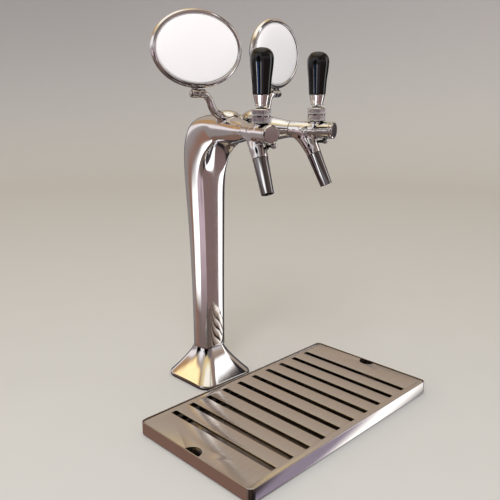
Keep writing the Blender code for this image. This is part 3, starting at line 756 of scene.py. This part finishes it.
def tap(name, casting_mesh, body):
    place = tap_frame(name)
    show_mesh(
        f"tap_casting_{name}", casting_mesh, "chrome", body, place, 0,
        [f"tap_body_{name}"],
    )  # fmt: skip
    cap = [(0.0064, 0.0172), (0.0064, 0.0221), (0.0118, 0.0221), (0.0118, 0.0262)]
    cap += [(0.0103, 0.0275), (0.0, 0.0275)]
    face = filleted([(r, z) for r, z in cap], 0.0004)
    face[-1] = Vector((0.00005, 0.0275))
    piece = show(
        f"cap_{name}", along_x(turned(face, 128)), "turned_chrome", body, place,
        nodes=[f"tap_cap_{name}"],
    )  # fmt: skip
    piece.data.materials.append(MADE["cap_face"])
    for polygon in piece.data.polygons:
        if polygon.center.x > 0.0273:
            polygon.material_index = 1
    show(
        f"knurled_bonnet_{name}", bonnet_bm(), "turned_chrome", body, place, 34,
        [f"bonnet_{name}"],
    )  # fmt: skip
    nozzle = [(0.0080, 0.0312), (0.0080, SEAM + 0.0003), (0.0104, SEAM + 0.0003)]
    nozzle += [(0.0086, TIP), (0.0062, TIP), (0.0062, 0.0312)]
    show(
        f"spout_nozzle_{name}", turned(filleted(nozzle, 0.0004, closed=True), 96, True),
        "nozzle_chrome", body, place @ SPOUT_PLACE, 40, [f"nozzle_{name}"],
    )  # fmt: skip


def flow_distance(p):
    shaft = rod_field(p, (0, -0.003, 0), (0, 0.0136, 0), 0.0020)
    hub = rod_field(p, (0, 0.0126, 0), (0, 0.0154, 0), 0.0042, edge=0.0006)
    arm = capsule_field(p, (0, 0.0142, 0), (0.0150, 0.0140, 0.0015), 0.0013, 0.0026)
    knob = np.linalg.norm(p - np.array((0.0180, 0.0138, 0.0022)), axis=1) - 0.0044
    lever = soft_union(soft_union(hub, arm, 0.0008), knob, 0.0012)
    vane = np.abs(p) - np.array((0.0034, 0.0033, 0.0008))
    return np.minimum(np.minimum(lever, shaft), vane.max(1))


def flow_lever(name, mesh):
    place = tap_frame(name) @ Matrix.Translation(FLOW_AXIS)
    show_mesh(
        f"throttle_lever_{name}", mesh, "chrome", f"flow_lever_{name}", place, 0,
        [f"flow_lever_{name}"],
    )  # fmt: skip


def ball_profile(radius, centre, start, end, steps):
    points = []
    for i in range(steps + 1):
        angle = math.radians(start + (end - start) * i / steps)
        points.append((radius * math.sin(angle), centre - radius * math.cos(angle)))
    return points


def handle(name):
    """Steel lever with its ball, chromed ferrule and black grip."""
    body = f"handle_{name}"
    place = tap_frame(name) @ Matrix.Translation((0, 0, PIVOT))
    lever = ball_profile(0.0026, -0.0202, 4, 140, 12) + ball_profile(0.0055, 0, 20, 156, 20)
    lever += [(0.0022, 0.0340)]
    show(
        f"lever_{name}", turned(lever, 48), "inner_steel", body, place, 50,
        [f"handle_lever_{name}"],
    )  # fmt: skip
    ferrule = [(0.0084, 0.0082), (0.0088, 0.0086), (0.0088, 0.0098), (0.0084, 0.0104)]
    ferrule += [(0.0110, 0.0221), (0.0025, 0.0221), (0.0025, 0.0082)]
    show(
        f"collar_{name}", turned(filleted(ferrule, 0.0005, closed=True), 96, True),
        "turned_chrome", body, place, 40, [f"ferrule_{name}"],
    )  # fmt: skip
    outline = [(0.0117, 0.0232), (0.0120, 0.0290), (0.0125, 0.0370), (0.0133, 0.0450)]
    outline += [(0.0143, 0.0530), (0.0151, 0.0600), (0.01538, 0.0650), (0.01525, 0.0690)]
    outline += [(0.0146, 0.0722), (0.0131, 0.0752), (0.0107, 0.0778), (0.0074, 0.0796)]
    outline += [(0.0038, 0.0804), (0.0001, 0.0806)]
    smooth = spline([(r, z, 0) for r, z in outline], 6)
    grip = [(0.0026, 0.0345), (0.0026, 0.0224), (0.0113, 0.0224)]
    grip += [(max(p.x, 0.0001), p.y) for p in smooth]
    bm = turned([(0.0001, 0.0345), *grip], 112)
    show(f"grip_{name}", bm, "grip_black", body, place, 50, [f"handle_{name}"])


# ---------------------------------------------------------------- medallions


def med_frame(name):
    """Local X runs along the tilt pin, Y away from the viewer of the face, Z up."""
    joint = JOINTS[f"medallion_{name}_tilt"]
    along = Vector(joint["axis"])
    up = Vector((0, 0, 1))
    place = Matrix((along, up.cross(along), up)).transposed().to_4x4()
    return Matrix.Translation(Vector(joint["pos_m"])) @ place


def bracket(side, name):
    """A petal-shaped saddle on the arm, the stem swinging up and out, and the eye for the pin."""
    arm = np.array(arm_frame(side).inverted())
    pin = np.array(med_frame(name).inverted())
    stem = [
        (0.0715, -0.0773, 0.4700), (0.0650, -0.0782, 0.4672), (0.0598, -0.0790, 0.4608),
        (0.0568, -0.0797, 0.4525), (0.0522, -0.0806, 0.4455), (0.0440, -0.0820, 0.4405),
        (0.0330, -0.0835, 0.4365),
    ]  # fmt: skip
    path = spline([(side * x, y, z) for x, y, z in stem], 3)
    count = len(path)
    radii = [0.0050 + 0.0018 * (i / (count - 1)) ** 2 for i in range(count)]

    def distance(p):
        local = p @ arm[:3, :3].T + arm[:3, 3]
        ball = local - np.array((0.088, 0, 0.0140))
        size = np.array((0.0190, 0.0185, 0.0135))
        k0 = np.linalg.norm(ball / size, axis=1)
        k1 = np.linalg.norm(ball / size**2, axis=1)
        body = k0 * (k0 - 1) / np.maximum(k1, 1e-6)
        post = None
        for a, b, ra, rb in zip(path, path[1:], radii, radii[1:]):
            link = capsule_field(p, a, b, ra, rb)
            post = link if post is None else np.minimum(post, link)
        q = p @ pin[:3, :3].T + pin[:3, 3]
        x = q[:, 0] * side
        r = np.hypot(q[:, 1], q[:, 2])
        eye = np.maximum(r - KNUCKLE_R, np.abs(x + 0.00515) - 0.00385)
        post = soft_union(post, eye, 0.0015)
        body = soft_union(body, post, 0.0060)
        bore = np.maximum(r - PIN_BORE, np.abs(x) - 0.0083)
        body = np.maximum(body, -bore)
        room = np.maximum(r - 0.0078, -(x + 0.0010))
        body = np.maximum(body, -room)
        under = np.hypot(local[:, 1], local[:, 2]) - 0.0186
        return np.maximum(body, -under)

    low = np.array((min(side * 0.003, side * 0.084), -0.112, 0.425))
    high = np.array((max(side * 0.003, side * 0.084), -0.060, 0.480))
    mesh = Field(low, high, 0.0005).mesh(f"bracket_{name}", distance)
    show_mesh(
        f"stem_bracket_{name}", mesh, "chrome", "tower", None, 0,
        [f"med_bracket_{name}"],
    )  # fmt: skip


def oval(inset, depth, sides=144):
    step = 2 * math.pi / sides
    return [
        Vector((
            (MED_A - inset) * math.cos(i * step),
            depth,
            (MED_B - inset) * math.sin(i * step) + MED_RISE,
        ))
        for i in range(sides)
    ]  # fmt: skip


def medallion(side, name):
    body = f"medallion_{name}"
    place = med_frame(name)
    dish = [
        (0.0500, 0.0104), (0.0320, 0.0100), (0.0130, 0.0088), (0.0040, 0.0054), (0.0000, 0.0012),
        (0.0000, -0.0010), (0.0018, -0.0040), (0.0040, -0.0050), (0.0058, -0.0048),
        (0.0067, -0.0036), (0.0067, -0.0015), (0.0085, -0.0015), (0.0085, 0.0035),
        (0.0180, 0.0072), (0.0500, 0.0085),
    ]  # fmt: skip
    profile = filleted(dish, 0.0012, 4)
    shell = loft([oval(p[0], p[1]) for p in profile])
    show(f"dish_{name}", shell, "chrome", body, place, 45, [f"med_housing_{name}"])
    low, high = sorted((-side * 0.0008, side * 0.0110))
    section = [(PIN_BORE, low), (KNUCKLE_R, low), (KNUCKLE_R, high), (PIN_BORE, high)]
    barrel = filleted(section, 0.0005, closed=True)
    lug = show(f"lug_{name}", along_x(turned(barrel, 64, True)), "chrome", body, place, 40)
    rings = []
    for z, half in ((0.0035, 0.0034), (0.0055, 0.0028), (0.0080, 0.0030), (0.0105, 0.0046)):
        ring = rounded_square((high - low) / 2 - 0.0006, half, 0.0012, z, 5)
        rings.append([p + Vector(((low + high) / 2, 0.001, 0)) for p in ring])
    web = show(f"lug_web_{name}", loft(rings), "chrome", body, place, 40)
    lens = [(0.0070, -0.0018), (0.0070, -0.0034), (0.0085, -0.0042), (0.0140, -0.0049)]
    lens += [(0.0240, -0.0056), (0.0360, -0.0060), (0.0500, -0.0061)]
    face = loft([oval(p[0], p[1]) for p in filleted(lens, 0.0010, 3)])
    show(f"lens_{name}", face, "lens_white", body, place, 50, [f"med_lens_{name}"])
    pin = [(0.0001, -0.0080), (0.0025, -0.0080), (0.0025, 0.0113), (0.0042, 0.0113)]
    pin += [(0.0042, 0.0124), (0.0034, 0.0130), (0.0001, 0.0130)]
    screw = turned([(p[0], side * p[1]) for p in filleted(pin, 0.0003, 2)], 48)
    show(
        f"tilt_pin_{name}", along_x(screw), "inner_steel", "tower", place, 40,
        [f"med_pin_{name}"],
    )  # fmt: skip


# ---------------------------------------------------------------- drip tray


def tray_pan():
    low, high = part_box("tray_pan")
    middle = Vector(((low[0] + high[0]) / 2, (low[1] + high[1]) / 2, 0))
    half_l, half_w = (high[0] - low[0]) / 2, (high[1] - low[1]) / 2
    bottom, top, wall, corner, reach = low[2], high[2], 0.0012, 0.008, 0.0500
    floor = bottom + wall
    shape = [(reach, bottom), (0.0, bottom), (0.0, top), (wall, top), (wall, floor), (reach, floor)]
    rounding = {1: 0.0016, 2: 0.0005, 3: 0.0005, 4: 0.0016}
    profile = []
    for i, point in enumerate(shape):
        if i in rounding:
            profile += filleted(shape[i - 1 : i + 2], rounding[i], 5)[1:-1]
        else:
            profile.append(Vector(point))
    rings = []
    for inset, height in profile:
        radius = max(corner - inset * 0.8, 0.002)
        rings.append(rounded_square(half_l - inset, half_w - inset, radius, height, 12))
    place = Matrix.Translation(middle)
    piece = show("pan", loft(rings), "bright_steel", "tray", place, 40, ["tray_pan"])
    piece.data.materials.append(MADE["pan_floor"])
    within = wall / 2
    for polygon in piece.data.polygons:
        x, y, z = polygon.center
        inside = abs(x) < half_l - within and abs(y) < half_w - within
        if inside and bottom + within < z < top - wall:
            polygon.material_index = 1


PLATE_EDGE, NOTCH_IN = 0.00025, 0.0005


def outline_curve(curve, points):
    line = curve.splines.new("POLY")
    line.points.add(len(points) - 1)
    line.use_cyclic_u = True
    for slot, point in zip(line.points, points):
        slot.co = (point[0], point[1], 0, 1)


def tray_grid():
    """The slotted plate, its edges slightly broken, cut from one outline."""
    low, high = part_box("tray_grid")
    half_l, half_w = (high[0] - low[0]) / 2, (high[1] - low[1]) / 2
    thick, edge, corner = high[2] - low[2], PLATE_EDGE, 0.0058
    slots, pitch, slot = 10, 0.0330, (0.00475, 0.1000, 0.0012)
    outline = []
    notch, notch_x = 0.0135, half_l - NOTCH_IN
    square = rounded_square(half_l - edge, half_w - edge, corner, 0, 10)
    reach = math.sqrt(notch**2 - (half_l - edge - notch_x) ** 2)
    per = len(square) // 4
    for quarter in range(4):
        outline += square[quarter * per : (quarter + 1) * per]
        if quarter == 1:
            outline += notch_points(-1, half_l - edge, reach, notch)
        if quarter == 3:
            outline += notch_points(1, half_l - edge, reach, notch)
    curve = bpy.data.curves.new("grid_outline", "CURVE")
    curve.dimensions = "2D"
    curve.fill_mode = "BOTH"
    curve.extrude = thick / 2 - edge
    curve.bevel_depth = edge
    curve.bevel_resolution = 2
    outline_curve(curve, outline)
    for i in range(slots):
        x = (i - (slots - 1) / 2) * pitch
        ring = rounded_square(*[size + edge for size in slot], 0, 4)
        outline_curve(curve, [(p.x + x, p.y) for p in ring][::-1])
    source = bpy.data.objects.new("grid_source", curve)
    bpy.context.scene.collection.objects.link(source)
    bpy.context.view_layer.update()
    graph = bpy.context.evaluated_depsgraph_get()
    mesh = bpy.data.meshes.new_from_object(source.evaluated_get(graph))
    bpy.data.objects.remove(source)
    bm = bmesh.new()
    bm.from_mesh(mesh)
    bmesh.ops.remove_doubles(bm, verts=bm.verts, dist=1e-6)
    middle = Vector(((low[0] + high[0]) / 2, (low[1] + high[1]) / 2, (low[2] + high[2]) / 2))
    place = Matrix.Translation(middle)
    show("slotted_plate", bm, "satin_steel", "grid", place, 30, ["tray_grid"])


def notch_points(side, edge_x, reach, radius):
    """The half-round finger notch at one end, run through in outline order."""
    centre = edge_x - (NOTCH_IN - PLATE_EDGE)
    start = math.atan2(reach, edge_x - centre)
    steps = 28
    points = []
    for i in range(steps + 1):
        turn = -start - (2 * math.pi - 2 * start) * i / steps
        x = centre + radius * math.cos(turn)
        y = radius * math.sin(turn)
        points.append((side * x, side * y, 0))
    return points


# ---------------------------------------------------------------- stage

# Studio walls by elevation, in degrees: a warm floor, a pale horizon, gold and white above
WALLS = (
    (-90, (0.075, 0.06, 0.055)),
    (-45, (0.13, 0.095, 0.085)),
    (-28, (0.19, 0.135, 0.12)),
    (-14, (0.25, 0.195, 0.185)),
    (-4, (0.34, 0.30, 0.30)),
    (8, (0.60, 0.55, 0.56)),
    (20, (0.46, 0.36, 0.28)),
    (38, (0.46, 0.40, 0.36)),
    (54, (0.82, 0.64, 0.34)),
    (66, (1.15, 1.08, 0.95)),
    (90, (1.3, 1.28, 1.22)),
)
CARD_RISE = (0.16, 0.86, 0.14)  # a card's fade over its height: from, to, softness
# Panels: (middle azimuth, half width, softness, lowest elevation, highest, softness, colour)
PANELS = (
    (40, 43, 6, -60, 13, 8, (0.085, 0.080, 0.084)),
    (110, 27, 5, 2, 13, 3, (0.95, 0.86, 0.88)),
    (112, 30, 6, 16, 46, 6, (0.50, 0.30, 0.15)),
    (112, 32, 8, -55, -24, 5, (0.23, 0.135, 0.105)),
    (98, 27, 6, -22, -5, 4, (0.30, 0.265, 0.255)),
    (130, 8, 4, -24, -8, 4, (0.30, 0.165, 0.125)),
    (132, 9, 4, 18, 33, 4, (1.5, 1.15, 0.62)),
    (200, 44, 8, -19, -3, 4, (0.60, 0.46, 0.52)),
    (185, 32, 9, 8, 33, 5, (1.0, 0.98, 1.02)),
    (262, 40, 8, 14, 52, 6, (0.17, 0.15, 0.145)),
    (280, 34, 5, -26, 5, 5, (0.23, 0.155, 0.15)),
    (290, 40, 6, -60, -30, 5, (0.03, 0.026, 0.028)),
    (290, 30, 8, 22, 60, 8, (0.30, 0.22, 0.19)),
    (322, 8, 1.5, -23, 28, 3, (1.9, 1.88, 1.9)),
    (319, 7, 3, -45, -22, 3, (0.34, 0.29, 0.38)),
    (340, 14, 4, -45, -22, 3, (1.7, 1.66, 1.64)),
    (316, 3, 1.5, 26, 42, 3, (1.8, 1.8, 1.8)),
    (334, 14, 2, 29, 62, 4, (0.03, 0.025, 0.03)),
    (352, 16, 6, -34, 8, 4, (0.05, 0.045, 0.05)),
)


def world_light():
    """The room that the chrome shows: warm walls with soft panels."""
    world = bpy.data.worlds.new("studio")
    bpy.context.scene.world = world
    world.use_nodes = True
    world.node_tree.nodes.clear()
    tree = Nodes(world.node_tree)
    parts = tree.new("SeparateXYZ", Vector=tree.new("TexCoord").outputs["Generated"])
    degrees = 180 / math.pi
    rise = tree.math("MULTIPLY", tree.math("ARCSINE", parts.outputs["Z"]), degrees)
    turn = tree.math("ARCTAN2", parts.outputs["Y"], parts.outputs["X"])
    turn = tree.math("MULTIPLY", turn, degrees)
    walls = tree.new("ValToRGB")
    walls.color_ramp.interpolation = "EASE"
    tree.feed(walls.inputs[0], tree.math("MULTIPLY_ADD", rise, 1 / 180, 0.5))
    stops = walls.color_ramp.elements
    while len(stops) > 1:
        stops.remove(stops[-1])
    for k, (height, colour) in enumerate(WALLS):
        stop = stops[0] if k == 0 else stops.new(height / 180 + 0.5)
        stop.position = height / 180 + 0.5
        stop.color = (*colour, 1)
    light = walls.outputs[0]
    for middle, half, soft, low, high, soft_rise, colour in PANELS:
        off = tree.math("WRAP", tree.math("SUBTRACT", turn, middle), 180, -180)
        off = tree.math("ABSOLUTE", off)
        across = tree.remap(off, 0, 1, half + soft, half - soft, "SMOOTHSTEP")
        mask = tree.math("MULTIPLY", across, tree.band(rise, low, high, soft_rise))
        light = tree.mix(mask, light, colour)
    tree.new("OutputWorld", Surface=tree.new("Background", Color=light).outputs[0])


def card(name, azimuth, distance, width, low, high, lean, bands, pieces):
    """A bright studio card that shows only in the named pieces' reflections.

    Bands are (from, to, softness, strength, colour), across the card.
    """
    turn = math.radians(azimuth)
    out = Vector((math.cos(turn), math.sin(turn), 0))
    across = Vector((out.y, -out.x, 0))
    mesh = bpy.data.meshes.new(name)
    corners = []
    for side, height in ((-1, low), (1, low), (1, high), (-1, high)):
        aside = side * width / 2 - lean * (high - height)
        corners.append(out * distance + across * aside + Vector((0, 0, height)))
    mesh.from_pydata(corners, [], [(0, 1, 2, 3)])
    layer = mesh.uv_layers.new(name="card")
    for loop, uv in zip(layer.data, ((0, 0), (1, 0), (1, 1), (0, 1))):
        loop.uv = uv
    paint = bpy.data.materials.new(name)
    paint.use_nodes = True
    paint.node_tree.nodes.clear()
    tree = Nodes(paint.node_tree)
    place = tree.new("SeparateXYZ", Vector=tree.new("TexCoord").outputs["UV"])
    u, v = place.outputs["X"], place.outputs["Y"]
    colour, strength = (0, 0, 0), 0.0
    for start, end, soft, level, tint in bands:
        mask = tree.band(u, start, end, soft)
        colour = tree.mix(mask, colour, tuple(level * c for c in tint))
        strength = tree.math("MAXIMUM", mask, strength)
    fade = tree.math("MULTIPLY", strength, tree.band(v, *CARD_RISE))
    clear = tree.new("BsdfTransparent").outputs[0]
    glow = tree.new("Emission", Color=colour).outputs[0]
    blend = tree.new("MixShader")
    for socket, source in zip(blend.inputs, (fade, clear, glow)):
        tree.feed(socket, source)
    tree.new("OutputMaterial", Surface=blend.outputs[0])
    mesh.materials.append(paint)
    piece = bpy.data.objects.new(name, mesh)
    bpy.context.scene.collection.objects.link(piece)
    piece.visible_camera = False
    piece.visible_diffuse = False
    piece.visible_shadow = False
    shown_in = bpy.data.collections.new(name)
    for shown in pieces:
        shown_in.objects.link(bpy.data.objects[shown])
    piece.light_linking.receiver_collection = shown_in


def stage():
    """A pale floor swept up into a backdrop, seen by the camera alone, the cards and the key."""
    flat, sweep, top, steps = 2.4, 1.8, 7.0, 16
    profile = [(0.0001, 0.0), (flat, 0.0)]
    for i in range(1, steps + 1):
        turn = math.pi / 2 * i / steps
        profile.append((flat + sweep * math.sin(turn), sweep * (1 - math.cos(turn))))
    profile.append((flat + sweep, top))
    bm = loft([circle(r, z, 96) for r, z in profile], caps=False)
    mesh = bpy.data.meshes.new("floor")
    bm.to_mesh(mesh)
    bm.free()
    mesh.shade_smooth()
    mesh.materials.append(MADE["floor_finish"])
    floor = bpy.data.objects.new("floor", mesh)
    bpy.context.scene.collection.objects.link(floor)
    floor.visible_glossy = False
    floor.visible_diffuse = False
    white = (1, 1, 1)
    card("card_column", 155, 0.6, 0.46, -0.12, 0.26, -0.35,
         ((0.14, 0.86, 0.14, 2.0, white),), ["casting"])  # fmt: skip
    stripes = (
        (0.04, 0.30, 0.04, 4, white), (0.79, 0.95, 0.03, 13, white),
        (0.34, 0.70, 0.03, 3.2, (0.13, 0.33, 1.0)),
    )  # fmt: skip
    grips = [f"grip_{name}" for _, name in SIDES]
    card("card_grips", 205, 0.66, 0.62, 0.30, 0.50, 0, stripes, grips)
    turnings = [f"{part}_{name}" for part in ("spout_nozzle", "collar") for _, name in SIDES]
    strip = ((0.08, 0.92, 0.07, 4.2, white),)
    card("card_turnings", 206, 0.66, 0.40, 0.10, 0.78, 0, strip, turnings)
    key = bpy.data.lights.new("key", "AREA")
    key.shape = "DISK"
    key.size = 1.4
    key.energy = 30
    lamp = bpy.data.objects.new("key", key)
    lamp.location = (-1.5, -1.2, 2.2)
    aim = Vector((0, -0.1, 0.2)) - lamp.location
    lamp.rotation_euler = aim.to_track_quat("-Z", "Y").to_euler()
    lamp.visible_glossy = False
    bpy.context.scene.collection.objects.link(lamp)


def camera():
    data = bpy.data.cameras.new("camera")
    data.sensor_width = 36
    data.lens = 43.6
    view = bpy.data.objects.new("camera", data)
    view.location = (-0.6336, -0.7356, 0.4684)
    view.rotation_euler = (math.radians(75.62), 0, math.radians(-44.86))
    bpy.context.scene.collection.objects.link(view)
    bpy.context.scene.camera = view


# ---------------------------------------------------------------- the whole object

CAD_LOOKS = {
    "inner_steel": ["base_plate", "coolant_tube", "piston_left", "piston_right"],
    "brass": ["neck_ring", "shank_left", "shank_right", "shank_nut_left", "shank_nut_right"],
    "rubber": ["foot_gasket", "nozzle_seal_left", "nozzle_seal_right"],
    "lamp_board": ["med_lamp_left", "med_lamp_right"],
    "hose": ["beer_line_left", "beer_line_right"],
}
CAD_LOOKS["inner_steel"] += [f"base_screw_{i}" for i in range(1, 5)]
CAD_LOOKS["rubber"] += [f"tray_foot_{i}" for i in range(1, 5)]
CAD_LOOKS["rubber"] += [f"grid_leg_{i}" for i in range(1, 7)]


def finish_cad_nodes():
    for look, names in CAD_LOOKS.items():
        for name in names:
            for slot in frame["nodes"][name].material_slots:
                slot.material = MADE[look]


def main():
    camera()
    world_light()
    bpy.context.scene.view_settings.view_transform = "Standard"
    finish_cad_nodes()
    foot()
    casting()
    tap_mesh = Field((-0.041, -0.0135, -0.038), (0.0235, 0.0135, 0.0145), 0.00045).mesh(
        "tap_casting", tap_distance
    )
    flow_mesh = Field((-0.006, -0.005, -0.006), (0.024, 0.020, 0.008), 0.0003).mesh(
        "throttle_lever", flow_distance
    )
    for side, name in SIDES:
        tap(name, tap_mesh if side < 0 else tap_mesh.copy(), "tower")
        flow_lever(name, flow_mesh if side < 0 else flow_mesh.copy())
        handle(name)
        bracket(side, name)
        medallion(side, name)
    tray_pan()
    tray_grid()
    stage()


main()
